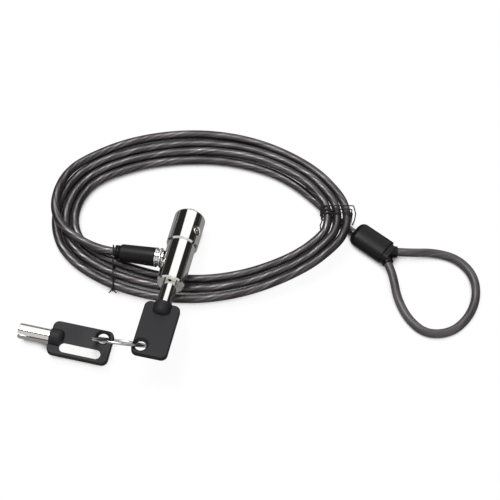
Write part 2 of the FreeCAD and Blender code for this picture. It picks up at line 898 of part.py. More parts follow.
def right_tie(tail, coil):
    """Three wraps round the strands and the tail under them, with a loose curl of wire outside."""
    reach = (cable_diameter + tie_wire) / 2 + tie_slack
    low = tie_wire / 2 + 0.01
    path = []
    for step in (1, 0, -1):
        plane = tie_right_y + step * tie_spacing
        strands = crossings(coil, "y", plane) + crossings(tail, "y", plane)
        strands = [point for point in strands if point.x > coil_middle]
        inner = min(point.x for point in strands) - reach
        outer = max(point.x for point in strands) + reach
        top = max(point.z for point in strands) + reach
        if not path:
            path += [
                Vector(outer + 1.0, plane - 6.0, low + 0.4),
                Vector(outer + 2.4, plane - 3.2, low + 1.2),
                Vector(outer + 3.0, plane - 0.4, low + 4.0),
                Vector(outer + 1.4, plane + 0.5, top - 1.4),
            ]
        path += [
            Vector(outer, plane, top),
            Vector(inner, plane, top),
            Vector(inner, plane, low),
        ]
        if step > -1:
            path.append(Vector(outer, plane - tie_spacing, low))
    path[-1] = Vector(inner, plane, low + 1.8)
    path += [
        Vector(inner - 1.0, plane - 1.9, low + 1.0),
        Vector(inner - 0.8, plane - 4.4, low + 0.2),
    ]
    return swept(cornered_route(path, tie_bend), tie_wire)


# Build
def build_lock(lock):
    write(placed(lock_body(), lock), "lock_body")
    write(placed(head_sleeve(), lock), "head_sleeve")
    write(placed(nose_pad(), lock), "nose_pad")
    write(placed(guard_block(), lock), "guard_block")
    write(placed(cross_pin(), lock), "cross_pin")
    write(placed(pin_shell(), lock), "pin_shell")
    write(placed(swivel_stud(), lock), "swivel_stud")
    write(placed(plug_core(), lock), "plug_core")
    write(placed(core_clip(), lock), "core_clip")
    write(placed(locking_bar(), lock), "locking_bar")
    for index, direction in enumerate(pin_directions()):
        number = str(index + 1)
        write(placed(driver_pin(direction), lock), "driver_pin_" + number)
        pin = key_pin(direction, key_cut_depths[index])
        write(placed(pin, lock), "key_pin_" + number)


def build_keys(lock):
    first = key_frame(lock)
    second = spare_frame()
    for frame, prefix in ((first, "key"), (second, "spare_key")):
        write(placed(key_barrel(), frame), prefix + "_barrel")
        write(placed(key_bow(), frame), prefix + "_bow")
        write(placed(key_tag(), frame), prefix + "_tag")
    write(key_ring(ring_hole_centre(first), ring_hole_centre(second)), "key_ring")


def build_cable(lock):
    write(placed(swivel_ferrule(), lock), "swivel_ferrule")
    write(placed(strain_relief(), lock), "strain_relief")
    exit_point, exit_direction = boot_end(lock)
    coil_start, _ = coil_anchor(0)
    lead = [exit_point, exit_point + exit_direction * lead_straight]
    lead += [Vector(*point) for point in lead_route] + [coil_start]
    lead_wire = free_tube("cable_lead", lead)
    start_tangent = lead[-1] - lead[-2]
    start_tangent.normalize()

    frame = sleeve_frame()
    sleeve_entry = frame.multVec(Vector(0, 0, -sleeve_entry_drop))
    before_sleeve = frame.multVec(Vector(-tail_straight, 0, -sleeve_entry_drop))
    coil_end, _ = coil_anchor(coil_quarters)
    tail = [coil_end] + [Vector(*point) for point in tail_route]
    tail += [before_sleeve, sleeve_entry]
    tail_wire = free_tube("cable_tail", tail)
    end_tangent = tail[1] - tail[0]
    end_tangent.normalize()

    wire = coil_wire(start_tangent, end_tangent)
    coil = swept(wire, cable_diameter)
    radii = [edge.Curve.Radius for edge in wire.Edges]
    report_tube("cable_coil", coil, wire, radii, cable_diameter)
    gap, where = least_gap(wire)
    print("coil least gap", round(gap, 2), "near", [round(value, 1) for value in where])
    write(coil, "cable_coil")

    write(placed(crimp_sleeve(), frame), "crimp_sleeve")
    write(placed(sleeve_collar(), frame), "sleeve_collar")
    far_point, far_direction = socket_end(frame, 1)
    near_point, near_direction = socket_end(frame, -1)
    eye = [far_point, far_point + far_direction * 9.0]
    eye += [Vector(*point) for point in eye_route]
    eye += [near_point + near_direction * 9.0, near_point]
    free_tube("cable_eye", eye)
    write(left_tie(lead_wire, wire), "tie_left")
    write(right_tie(tail_wire, wire), "tie_right")


lock_placement = lock_frame()
build_lock(lock_placement)
build_keys(lock_placement)
build_cable(lock_placement)
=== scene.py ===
import math

import bpy
import numpy as np
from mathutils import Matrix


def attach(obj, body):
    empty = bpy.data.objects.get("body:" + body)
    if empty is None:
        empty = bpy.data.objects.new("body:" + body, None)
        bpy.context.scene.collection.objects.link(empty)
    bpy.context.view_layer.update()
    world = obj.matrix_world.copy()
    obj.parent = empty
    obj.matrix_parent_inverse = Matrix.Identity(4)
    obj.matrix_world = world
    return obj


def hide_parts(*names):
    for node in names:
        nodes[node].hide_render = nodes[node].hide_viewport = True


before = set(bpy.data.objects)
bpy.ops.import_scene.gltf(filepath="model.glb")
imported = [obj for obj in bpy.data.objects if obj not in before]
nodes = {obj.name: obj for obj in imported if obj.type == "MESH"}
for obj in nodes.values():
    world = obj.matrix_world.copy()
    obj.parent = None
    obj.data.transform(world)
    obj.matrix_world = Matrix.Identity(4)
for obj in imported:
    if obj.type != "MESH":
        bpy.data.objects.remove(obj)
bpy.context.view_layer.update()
mm = 0.001


def addObject(name, data):
    thing = bpy.data.objects.new(name, data)
    bpy.context.scene.collection.objects.link(thing)
    return thing


# Camera: in front of the lock, looking down at 63 degrees
photoView = {"place": (0.07914, -0.37933, 0.80191), "tilt": 27.0, "lens": 110.2, "sensor": 36.0}

lens = bpy.data.cameras.new("photoCamera")
lens.lens = photoView["lens"]
lens.sensor_width = photoView["sensor"]
camera = addObject("photoCamera", lens)
camera.location = photoView["place"]
camera.rotation_euler = (math.radians(photoView["tilt"]), 0.0, 0.0)
bpy.context.scene.camera = camera
print("camera set")


# Shader building

def link(tree, output, target):
    tree.links.new(output, target)


def feed(tree, value, target):
    # A number is set on the socket itself, an output is linked to it
    if isinstance(value, (int, float)):
        target.default_value = value
    else:
        link(tree, value, target)


def mathNode(tree, operation, *values):
    node = tree.nodes.new("ShaderNodeMath")
    node.operation = operation
    for target, value in zip(node.inputs, values):
        feed(tree, value, target)
    return node.outputs[0]


def rangeNode(tree, value, low, high, newLow, newHigh, smooth=False):
    node = tree.nodes.new("ShaderNodeMapRange")
    if smooth:
        node.interpolation_type = "SMOOTHSTEP"
    for target, given in zip(node.inputs, (value, low, high, newLow, newHigh)):
        feed(tree, given, target)
    return node.outputs[0]


def noiseNode(tree, place, scale, detail, rough):
    node = tree.nodes.new("ShaderNodeTexNoise")
    for label, value in (("Vector", place), ("Scale", scale), ("Detail", detail), ("Roughness", rough)):
        feed(tree, value, node.inputs[label])
    return node.outputs[0]


def newGroup(name, inputs, outputs):
    group = bpy.data.node_groups.new(name, "ShaderNodeTree")
    for label, value in inputs:
        socket = group.interface.new_socket(label, in_out="INPUT", socket_type="NodeSocketFloat")
        socket.default_value = value
    for label in outputs:
        group.interface.new_socket(label, in_out="OUTPUT", socket_type="NodeSocketFloat")
    return group, group.nodes.new("NodeGroupInput"), group.nodes.new("NodeGroupOutput")


def placeGroup(tree, group, values):
    node = tree.nodes.new("ShaderNodeGroup")
    node.node_tree = group
    for label, value in values.items():
        node.inputs[label].default_value = value
    return node


# Handled metal: the group's inputs, its noises as (detail, roughness), and the part of one that shows
handled = {
    "inputs": (("Smudge Scale", 90.0), ("Speck Scale", 2600.0), ("Clean", 0.06), ("Dull", 0.2)),
    "smudgeNoise": (4.0, 0.55),
    "smudgeRange": (0.42, 0.78),
    "speckNoise": (2.0, 0.6),
}


def makeHandledFinish():
    # Broad smudges and fine specks: two noises, the first squared so that most of the face stays clean
    group, given, out = newGroup("handledFinish", handled["inputs"], ("Roughness", "Height"))
    place = group.nodes.new("ShaderNodeTexCoord").outputs["Object"]
    smudge = noiseNode(group, place, given.outputs["Smudge Scale"], *handled["smudgeNoise"])
    smudge = rangeNode(group, smudge, *handled["smudgeRange"], 0.0, 1.0)
    smudge = mathNode(group, "MULTIPLY", smudge, smudge)
    rough = rangeNode(group, smudge, 0.0, 1.0, given.outputs["Clean"], given.outputs["Dull"])
    link(group, rough, out.inputs["Roughness"])
    speck = noiseNode(group, place, given.outputs["Speck Scale"], *handled["speckNoise"])
    link(group, speck, out.inputs["Height"])
    return group


# Moulded plastic: the group's inputs, its slow noise as (detail, roughness), how much the cells add to it,
# and the parts of them that show
moulded = {
    "inputs": (("Grain Scale", 3800.0), ("Tone Scale", 60.0), ("Smooth", 0.4), ("Rough", 0.6)),
    "slowNoise": (3.0, 0.5),
    "toneRange": (0.25, 0.75),
    "cellShare": 0.35,
    "roughRange": (0.3, 1.0),
}


def makeMouldedGrain():
    # Fine pebble from cells, over a slow change of tone across the moulding
    group, given, out = newGroup("mouldedGrain", moulded["inputs"], ("Tone", "Roughness", "Height"))
    place = group.nodes.new("ShaderNodeTexCoord").outputs["Object"]
    cells = group.nodes.new("ShaderNodeTexVoronoi")
    link(group, place, cells.inputs["Vector"])
    link(group, given.outputs["Grain Scale"], cells.inputs["Scale"])
    slow = noiseNode(group, place, given.outputs["Tone Scale"], *moulded["slowNoise"])
    link(group, rangeNode(group, slow, *moulded["toneRange"], 0.0, 1.0), out.inputs["Tone"])
    mixed = mathNode(group, "MULTIPLY_ADD", cells.outputs["Distance"], moulded["cellShare"], slow)
    rough = rangeNode(group, mixed, *moulded["roughRange"], given.outputs["Smooth"], given.outputs["Rough"])
    link(group, rough, out.inputs["Roughness"])
    link(group, cells.outputs["Distance"], out.inputs["Height"])
    return group


handledFinish = makeHandledFinish()
mouldedGrain = makeMouldedGrain()


def newMaterial(name, sockets):
    material = bpy.data.materials.new(name)
    material.use_nodes = True
    tree = material.node_tree
    shader = tree.nodes["Principled BSDF"]
    for label, value in sockets.items():
        shader.inputs[label].default_value = value
    return material, tree, shader


def addBump(tree, shader, height, depth, strength=1.0):
    bump = tree.nodes.new("ShaderNodeBump")
    bump.inputs["Distance"].default_value = depth
    bump.inputs["Strength"].default_value = strength
    link(tree, height, bump.inputs["Height"])
    link(tree, bump.outputs["Normal"], shader.inputs["Normal"])


def blendColour(tree, factor, first, second):
    node = tree.nodes.new("ShaderNodeMix")
    node.data_type = "RGBA"
    link(tree, factor, node.inputs["Factor"])
    node.inputs["A"].default_value = (*first, 1.0)
    node.inputs["B"].default_value = (*second, 1.0)
    return node.outputs["Result"]


# Metals: their colour, how rough the clean and the smudged places are, and how deep the specks go
metals = {
    "bright_chrome": {"colour": (0.90, 0.885, 0.855), "clean": 0.045, "dull": 0.15, "depth": 0.000002},
    "bright_nickel": {"colour": (0.88, 0.855, 0.82), "clean": 0.10, "dull": 0.24, "depth": 0.000004},
    "ring_steel": {"colour": (0.74, 0.74, 0.75), "clean": 0.16, "dull": 0.32, "depth": 0.000004},
    "hardened_steel": {"colour": (0.66, 0.65, 0.65), "clean": 0.40, "dull": 0.60, "depth": 0.000006},
    "brass": {"colour": (0.80, 0.62, 0.30), "clean": 0.18, "dull": 0.36, "depth": 0.000004},
}


def makeMetal(name, metal):
    material, tree, shader = newMaterial(name + "Finish", {
        "Base Color": (*metal["colour"], 1.0),
        "Metallic": 1.0,
    })
    marks = placeGroup(tree, handledFinish, {"Clean": metal["clean"], "Dull": metal["dull"]})
    link(tree, marks.outputs["Roughness"], shader.inputs["Roughness"])
    addBump(tree, shader, marks.outputs["Height"], metal["depth"])
    return material


# Plastics and rubber: two tones, how rough the smoothest and roughest places are, and the grain's depth,
# mirror shine and fineness
plastics = {
    "black_rubber": {
        "dark": (0.012, 0.012, 0.013), "light": (0.028, 0.028, 0.030), "smooth": 0.62, "rough": 0.85,
        "depth": 0.000030, "shine": 0.5, "grain": 2600.0,
    },
    "black_plastic": {
        "dark": (0.011, 0.010, 0.012), "light": (0.017, 0.015, 0.019), "smooth": 0.46, "rough": 0.66,
        "depth": 0.000016, "shine": 0.35, "grain": 4200.0,
    },
    "white_plastic": {
        "dark": (0.90, 0.90, 0.89), "light": (0.95, 0.95, 0.94), "smooth": 0.35, "rough": 0.50,
        "depth": 0.000006, "shine": 0.5, "grain": 3000.0,
    },
    "black_boot": {
        "dark": (0.004, 0.004, 0.005), "light": (0.009, 0.009, 0.010), "smooth": 0.36, "rough": 0.52,
        "depth": 0.000010, "shine": 0.28, "grain": 3400.0,
    },
    "black_sleeve": {
        "dark": (0.003, 0.003, 0.004), "light": (0.005, 0.005, 0.006), "smooth": 0.30, "rough": 0.42,
        "depth": 0.000006, "shine": 0.26, "grain": 3000.0,
    },
    "tie_wire": {
        "dark": (0.006, 0.006, 0.007), "light": (0.014, 0.014, 0.015), "smooth": 0.34, "rough": 0.50,
        "depth": 0.000006, "shine": 0.35, "grain": 5000.0,
    },
}


def makePlastic(name, plastic):
    material, tree, shader = newMaterial(name + "Finish", {"Specular IOR Level": plastic["shine"]})
    grain = placeGroup(tree, mouldedGrain, {
        "Grain Scale": plastic["grain"],
        "Smooth": plastic["smooth"],
        "Rough": plastic["rough"],
    })
    colour = blendColour(tree, grain.outputs["Tone"], plastic["dark"], plastic["light"])
    link(tree, colour, shader.inputs["Base Color"])
    link(tree, grain.outputs["Roughness"], shader.inputs["Roughness"])
    addBump(tree, shader, grain.outputs["Height"], plastic["depth"])
    return material


finishes = {name: makeMetal(name, metal) for name, metal in metals.items()}
finishes.update({name: makePlastic(name, plastic) for name, plastic in plastics.items()})
print("finishes ready")


# Surfaces worked out on a grid

def smoothFaces(mesh):
    mesh.polygons.foreach_set("use_smooth", np.ones(len(mesh.polygons), bool))


def gridMesh(name, grid, uv=None, wrapColumns=False, capEnds=False):
    # grid is rows x columns x 3: each face joins four neighbours, the last column can join the first,
    # and the first and last rows can be closed with one face each
    rows, columns = grid.shape[:2]
    around = columns if wrapColumns else columns - 1
    row, column = np.meshgrid(np.arange(rows - 1), np.arange(around), indexing="ij")
    after = (column + 1) % columns
    corners = np.stack((
        row * columns + column, row * columns + after,
        (row + 1) * columns + after, (row + 1) * columns + column), axis=-1).reshape(-1, 4)
    faces = corners.tolist()
    if capEnds:
        faces.append(list(range(columns))[::-1])
        faces.append(list(range((rows - 1) * columns, rows * columns)))
    mesh = bpy.data.meshes.new(name)
    mesh.from_pydata(grid.reshape(-1, 3).tolist(), [], faces)
    if uv is not None:
        # uv gives the value around at each column edge and the value along at each row
        acrossUv, alongUv = uv
        quad = np.stack([
            np.stack((acrossUv[column + right], alongUv[row + down]), axis=-1)
            for right, down in ((0, 0), (1, 0), (1, 1), (0, 1))], axis=2).reshape(-1)
        layer = mesh.uv_layers.new(name="along")
        values = np.zeros(len(mesh.loops) * 2)
        values[:len(quad)] = quad
        layer.data.foreach_set("uv", values)
    smoothFaces(mesh)
    mesh.update()
    return mesh


def tubeGrid(points, radius, sides):
    # A circle set square to the line at each of its points:
    # point + radius(cos a * side + sin a * up)
    ahead = np.gradient(points, axis=0)
    ahead /= np.linalg.norm(ahead, axis=1, keepdims=True)
    side = np.cross((0.0, 0.0, 1.0), ahead)
    side /= np.linalg.norm(side, axis=1, keepdims=True)
    up = np.cross(ahead, side)
    angle = np.arange(sides) * 2 * np.pi / sides
    ring = np.cos(angle)[:, None] * side[:, None] + np.sin(angle)[:, None] * up[:, None]
    return points[:, None] + radius * ring


# The cable: one line from the boot round the coil, through the sleeve and round the eye
cable = {
    "diameter": 5.0,
    "boot": ((1.12, 23.145, 9.627), (-4.721, 24.342, 8.956)),
    "lead": (
        (-15.3, 28.4, 9.0), (-26.9, 35.6, 9.8), (-34.9, 46.0, 10.1),
        (-36.4, 59.0, 9.9), (-31.6, 75.3, 8.2), (-20.9, 88.8, 3.84),
    ),
    "turns": 3,
    "pitch": 5.6,
    # far left, far right, near right, near left: x, y, heading and climb of the outermost strand
    "corners": (
        (-9.2, 94.3, 21.6, 0.0), (128.3, 68.2, -52.3, 0.11),
        (125.4, 23.7, -141.6, -0.11), (-17.0, 14.1, 147.1, 0.0),
    ),
    # turn by turn, at those four places: how much further in a strand lies than its pitches say
    "shifts": (
        (0.0, 0.0, 0.0, 0.0), (-0.11, 0.03, -0.12, -0.17), (-0.11, 0.16, -0.17, -0.17), (0.13,),
    ),
    # and how high its middle lies
    "heights": (
        (3.84, 6.37, 10.59, 4.68), (3.46, 8.65, 9.03, 3.4), (3.4, 10.6, 7.25, 3.4), (4.09,),
    ),
    "tail": (
        (13.1, 84.6, 3.9), (27.0, 87.1, 3.4), (40.0, 88.6, 3.2), (62.6, 88.4, 3.2),
        (86.6, 82.5, 3.2), (103.6, 73.7, 3.3), (118.4, 60.3, 3.4),
    ),
    "sleeve": (
        (133.179, 44.104, 3.5), (140.3, 38.6, 3.5), (147.4, 33.1, 3.9),
        (155.4, 26.6, 4.8), (165.128, 25.288, 5.0), (174.118, 24.864, 5.0),
    ),
    "eye": (
        (187.1, 26.2, 2.6), (200.5, 22.2, 2.55), (209.5, 11.2, 2.5), (210.1, -3.0, 2.5),
        (204.5, -15.7, 2.5), (194.3, -24.8, 2.5), (180.4, -26.1, 2.5), (170.5, -17.8, 2.55),
        (164.2, -4.2, 2.6), (162.117, 9.336, 5.0), (159.441, 17.929, 5.0), (158.25, 21.75, 5.0),
    ),
    # points of the coil's near side laid aside: the point's number, and how far in x, y and z
    "asides": (
        (9, 0.0, -0.3, 0.0), (10, 0.0, -0.8, 0.0), (11, -0.2, -0.4, 0.0), (25, 0.0, 0.7, 0.0),
        (26, 0.0, 1.2, 0.0), (27, 0.4, 1.6, 0.0), (28, 0.2, 0.4, 0.0), (40, -0.2, 0.5, 0.0),
        (41, 0.0, 1.8, -0.3), (42, 0.0, 2.4, -0.6), (43, 0.8, 3.4, -0.2), (44, 0.6, 1.0, 0.0),
    ),
    "pointsPerQuarter": 4,
    "order": 3,
    "smoothness": 14,
    "length": 1.69,
    "sides": 20,
}


def coilStop(quarter):
    # Where a strand passes a quarter turn: the outermost strand's place, moved in by a pitch for each turn
    turn, side = divmod(quarter, len(cable["corners"]))
    x, y, heading, climb = cable["corners"][side]
    inset = cable["pitch"] * turn + cable["shifts"][turn][side]
    angle = math.radians(heading)
    z = cable["heights"][turn][side]
    place = np.array((x + math.sin(angle) * inset, y - math.cos(angle) * inset, z))
    direction = np.array((math.cos(angle), math.sin(angle), climb))
    return place, direction / np.linalg.norm(direction)


def coilTurns():
    # Between two quarters the strand follows a cubic, (1 - t)^3 start + 3t(1 - t)^2 second
    # + 3t^2(1 - t) third + t^3 end, whose handles are as long as an arc of that bend needs.
    # Each point is moved out by an eighth of the second derivative times the step squared,
    # which the smooth line takes back
    quarters = len(cable["corners"]) * cable["turns"]
    count = cable["pointsPerQuarter"]
    stops = [list(coilStop(quarter)) for quarter in range(quarters + 1)]
    before = np.array(cable["lead"][-1])
    after = np.array(cable["tail"][0])
    stops[0][1] = (stops[0][0] - before) / np.linalg.norm(stops[0][0] - before)
    stops[-1][1] = (after - stops[-1][0]) / np.linalg.norm(after - stops[-1][0])
    places = []
    for (start, leaving), (end, arriving) in zip(stops, stops[1:]):
        bend = math.acos(max(-1.0, min(1.0, float(leaving @ arriving))))
        handle = 4 / 3 * math.tan(bend / 4) / (2 * math.sin(bend / 2)) * np.linalg.norm(end - start)
        second = start + leaving * handle
        third = end - arriving * handle
        step = (np.arange(count)[:, None] + 0.5) / count
        line = ((1 - step) ** 3 * start + 3 * step * (1 - step) ** 2 * second
                + 3 * step ** 2 * (1 - step) * third + step ** 3 * end)
        curving = 6 * ((1 - step) * (third - 2 * second + start) + step * (end - 2 * third + second))
        places += list(line - curving / (8 * count ** 2))
    for which, *move in cable["asides"]:
        places[which] = places[which] + move
    return places


def cableLine():
    # The route's points are the control points of one open smooth spline
    points = np.array([*cable["boot"], *cable["lead"], *coilTurns(), *cable["tail"],
                       *cable["sleeve"], *cable["eye"]]) * mm
    curve = bpy.data.curves.new("cableRoute", "CURVE")
    curve.dimensions = "3D"
    spline = curve.splines.new("NURBS")
    spline.points.add(len(points) - 1)
    spline.points.foreach_set("co", np.hstack((points, np.ones((len(points), 1)))).ravel())
    spline.order_u = cable["order"]
    spline.use_endpoint_u = True
    spline.resolution_u = cable["smoothness"]
    route = addObject("cableRoute", curve)
    bpy.context.view_layer.update()
    shape = bpy.data.meshes.new_from_object(route)
    line = np.zeros(len(shape.vertices) * 3)
    shape.vertices.foreach_get("co", line)
    bpy.data.objects.remove(route)
    return line.reshape(-1, 3)


def distanceAlong(line):
    # The lengths of all the steps up to each point, added up
    steps = np.linalg.norm(np.diff(line, axis=0), axis=1)
    return np.concatenate(((0.0,), np.cumsum(steps)))


# Clear dark vinyl over twisted strands: noises as (scale, detail, roughness), ranges as the part of a noise
# or wave that shows, and rough from the dark tone to the light one
vinyl = {
    "coat": 0.5,
    "coatRough": 0.34,
    "coatIor": 1.5,
    "dark": (0.055, 0.046, 0.048),
    "light": (0.27, 0.255, 0.26),
    "lay": 0.055,
    "strands": 7,
    "ribRange": (-0.9, 0.9),
    "grooves": 0.35,
    "ribDepth": 0.00004,
    "ribStrength": 0.30,
    "streakLength": 0.035,
    "broadNoise": (1.3, 2.0, 0.5),
    "broadRange": (0.36, 0.66),
    "thinNoise": (4.5, 3.0, 0.6),
    "thinRange": (0.35, 0.65),
    "thinLeast": 0.3,
    "eyeStreaks": 0.35,
    "metallic": 0.85,
    "rough": (0.46, 0.34),
}


def makeVinyl(eyeStart):
    # Soft ribs, one for each strand, go round once in each lay, and grey streaks run along them;
    # past the sleeve, round the eye, there are no ribs and the streaks are fainter
    material, tree, shader = newMaterial("smokyVinylFinish", {
        "Coat Weight": vinyl["coat"],
        "Coat Roughness": vinyl["coatRough"],
        "Coat IOR": vinyl["coatIor"],
    })
    place = tree.nodes.new("ShaderNodeUVMap")
    place.uv_map = "along"
    parts = tree.nodes.new("ShaderNodeSeparateXYZ")
    link(tree, place.outputs["UV"], parts.inputs[0])
    around, along = parts.outputs["X"], parts.outputs["Y"]
    turns = mathNode(tree, "MULTIPLY_ADD", along, 1 / vinyl["lay"], around)
    twist = mathNode(tree, "MULTIPLY", turns, 2 * math.pi)
    strand = mathNode(tree, "SINE", mathNode(tree, "MULTIPLY", twist, vinyl["strands"]))
    rib = rangeNode(tree, strand, *vinyl["ribRange"], vinyl["grooves"], 1.0, smooth=True)
    ribbed = mathNode(tree, "LESS_THAN", along, eyeStart)
    # The streaks: noise at (cos twist, sin twist, along / streakLength), which turns with the strands
    wound = tree.nodes.new("ShaderNodeCombineXYZ")
    link(tree, mathNode(tree, "COSINE", twist), wound.inputs[0])
    link(tree, mathNode(tree, "SINE", twist), wound.inputs[1])
    link(tree, mathNode(tree, "MULTIPLY", along, 1 / vinyl["streakLength"]), wound.inputs[2])
    broad = noiseNode(tree, wound.outputs[0], *vinyl["broadNoise"])
    broad = rangeNode(tree, broad, *vinyl["broadRange"], 0.0, 1.0, smooth=True)
    thin = noiseNode(tree, wound.outputs[0], *vinyl["thinNoise"])
    thin = rangeNode(tree, thin, *vinyl["thinRange"], vinyl["thinLeast"], 1.0)
    streak = mathNode(tree, "MULTIPLY", broad, thin)
    onCoil = mathNode(tree, "MULTIPLY", streak, rib)
    onEye = mathNode(tree, "MULTIPLY", streak, vinyl["eyeStreaks"])
    steel = rangeNode(tree, ribbed, 0.0, 1.0, onEye, onCoil)
    link(tree, blendColour(tree, steel, vinyl["dark"], vinyl["light"]), shader.inputs["Base Color"])
    link(tree, rangeNode(tree, ribbed, 0.0, 1.0, 0.0, vinyl["metallic"]), shader.inputs["Metallic"])
    link(tree, rangeNode(tree, steel, 0.0, 1.0, *vinyl["rough"]), shader.inputs["Roughness"])
    addBump(tree, shader, rib, vinyl["ribDepth"], vinyl["ribStrength"])
    return material


def buildCable(bar):
    line = cableLine()
    along = distanceAlong(line)
    # The ribs end out of sight, inside the sleeve
    hidden = np.array(cable["sleeve"][2]) * mm
    eyeStart = float(along[np.linalg.norm(line - hidden, axis=1).argmin()])
    sides = cable["sides"]
    grid = tubeGrid(line, cable["diameter"] / 2 * mm, sides)
    uv = (np.linspace(0.0, 1.0, sides + 1), along)
    piece = addObject("cable", gridMesh("cable", grid, uv, wrapColumns=True, capEnds=True))
    piece.data.materials.append(makeVinyl(eyeStart))
    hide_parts("cable_lead", "cable_coil", "cable_tail", "cable_eye")
    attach(piece, "cable")
    print("cable of", round(float(along[-1]), 3), "m laid, eye from", round(eyeStart, 3))


def turnedGrid(profile, base, across, up, along, sides):
    # A profile of (station, radius) pairs turned round an axis:
    # base + station * along + radius(cos a * across + sin a * up)
    profile = np.array(profile)
    angle = np.arange(sides) * 2 * np.pi / sides
    ring = np.cos(angle)[:, None] * across + np.sin(angle)[:, None] * up
    return (base + profile[:, 0, None, None] * along + profile[:, 1, None, None] * ring[None]) * mm


# The sleeve round the lock's head: longer than the frame's own, down to where its rim shows, with the nose
# turned at one end and the cross pin's seat cut into its side; profiles are (station, radius) pairs
head = {
    "base": (33.54, -1.34, 16.5576),
    "along": (0.21546, 0.96390, -0.15643),
    "across": (-0.97592, 0.21814, 0.0),
    "rim": ((27.6, 8.23), (27.6, 8.45), (28.35, 9.2)),
    "noseAt": 47.6,
    "noseRound": 2.0,
    "noseRings": 10,
    "inside": (
        (49.6, 6.7), (48.9, 6.7), (48.9, 4.1), (47.0, 4.1),
        (47.0, 7.62), (31.62, 7.62), (31.62, 8.23), (27.6, 8.23),
    ),
    "sides": 128,
    "pinAt": 36.7,
    "pinTurn": 139.0,
    "pinSeat": ((4.0, 1.82), (8.6, 1.82), (8.6, 2.95), (12.0, 2.95)),
    "pinSides": 48,
    "weldWithin": 0.000001,
    "sharpOver": 30.0,
}


def cutMesh(piece, cutter, weldWithin, sharpOver):
    # The piece's mesh less the cutter's, with edges that bend by more than sharpOver degrees kept sharp
    weld = piece.modifiers.new("weld", "WELD")
    weld.merge_threshold = weldWithin
    cut = piece.modifiers.new("cut", "BOOLEAN")
    cut.operation = "DIFFERENCE"
    cut.solver = "EXACT"
    cut.object = cutter
    view = bpy.context.evaluated_depsgraph_get()
    mesh = bpy.data.meshes.new_from_object(piece.evaluated_get(view))
    piece.modifiers.clear()
    piece.data = mesh
    bpy.data.objects.remove(cutter)
    smoothFaces(mesh)
    mesh.set_sharp_from_angle(angle=math.radians(sharpOver))


def buildHead():
    # The nose's edge is a quarter circle: station + r sin t, radius - r + r cos t
    base, along, across = (np.array(head[key]) for key in ("base", "along", "across"))
    up = np.cross(along, across)
    turn = np.linspace(0.0, np.pi / 2, head["noseRings"])
    station = head["noseAt"] + head["noseRound"] * np.sin(turn)
    radius = head["rim"][-1][1] - head["noseRound"] + head["noseRound"] * np.cos(turn)
    profile = [*head["rim"], *np.stack((station, radius), axis=-1).tolist(), *head["inside"]]
    grid = turnedGrid(profile, base, across, up, along, head["sides"])
    shell = addObject("headShell", gridMesh("headShell", grid, wrapColumns=True))
    angle = math.radians(head["pinTurn"])
    outwards = math.cos(angle) * across + math.sin(angle) * up
    seat = turnedGrid(head["pinSeat"], base + head["pinAt"] * along, along,
                      np.cross(outwards, along), outwards, head["pinSides"])
    cutter = addObject("pinSeat", gridMesh("pinSeat", seat, wrapColumns=True, capEnds=True))
    cutMesh(shell, cutter, head["weldWithin"], head["sharpOver"])
    shell.data.materials.clear()
    shell.data.materials.append(finishes["bright_chrome"])
    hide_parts("head_sleeve")
    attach(shell, "lock")
    print("head built")


# The ferrule between the lock and the boot: a chromed spool with two rounded rims, bored for the stud
ferrule = {
    "base": (28.475, 17.540, 12.769),
    "along": (-0.97351, 0.19946, -0.11181),
    "profile": (
        (0.0, 2.28), (0.0, 4.9), (0.12, 5.4), (0.42, 5.75), (0.8, 5.82), (1.15, 5.65), (1.4, 5.2),
        (1.6, 4.85), (2.0, 4.75), (2.45, 4.85), (2.65, 5.2), (2.9, 5.65), (3.25, 5.82), (3.6, 5.75),
        (3.88, 5.5), (4.0, 5.1), (4.0, 3.85), (1.5, 3.85), (1.5, 2.28), (0.0, 2.28),
    ),
    "sides": 64,
}


def buildFerrule():
    along = np.array(ferrule["along"])
    along /= np.linalg.norm(along)
    across = np.cross(along, (0.0, 0.0, 1.0))
    across /= np.linalg.norm(across)
    up = np.cross(along, across)
    grid = turnedGrid(ferrule["profile"], np.array(ferrule["base"]), across, up, along, ferrule["sides"])
    spool = addObject("ferruleSpool", gridMesh("ferruleSpool", grid, wrapColumns=True))
    spool.data.materials.append(finishes["bright_chrome"])
    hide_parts("swivel_ferrule")
    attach(spool, "cable")
    print("ferrule built")


# The moulded crimp sleeve: a fat bar with a rounded section, closed round at the end where the cable enters
crimp = {
    "base": (140.3, 38.6, 5.0),
    "along": (0.79122, -0.61153, 0.0),
    "across": (0.61153, 0.79122, 0.0),
    "halfWidth": 7.5,
    "halfHeight": 4.8,
    "aside": 0.55,
    "length": 22.98,
    "squareness": 2.3,
    "endRound": 4.2,
    "endRings": 14,
    "midRings": 24,
    "midFrom": 0.5,
    "midTo": 1.2,
    # the last rings: how far before the collar's end, and the section's size there
    "collarRings": ((0.7, 1.0), (0.3, 0.985), (0.08, 0.955), (0.0, 0.93)),
    "sides": 96,
}


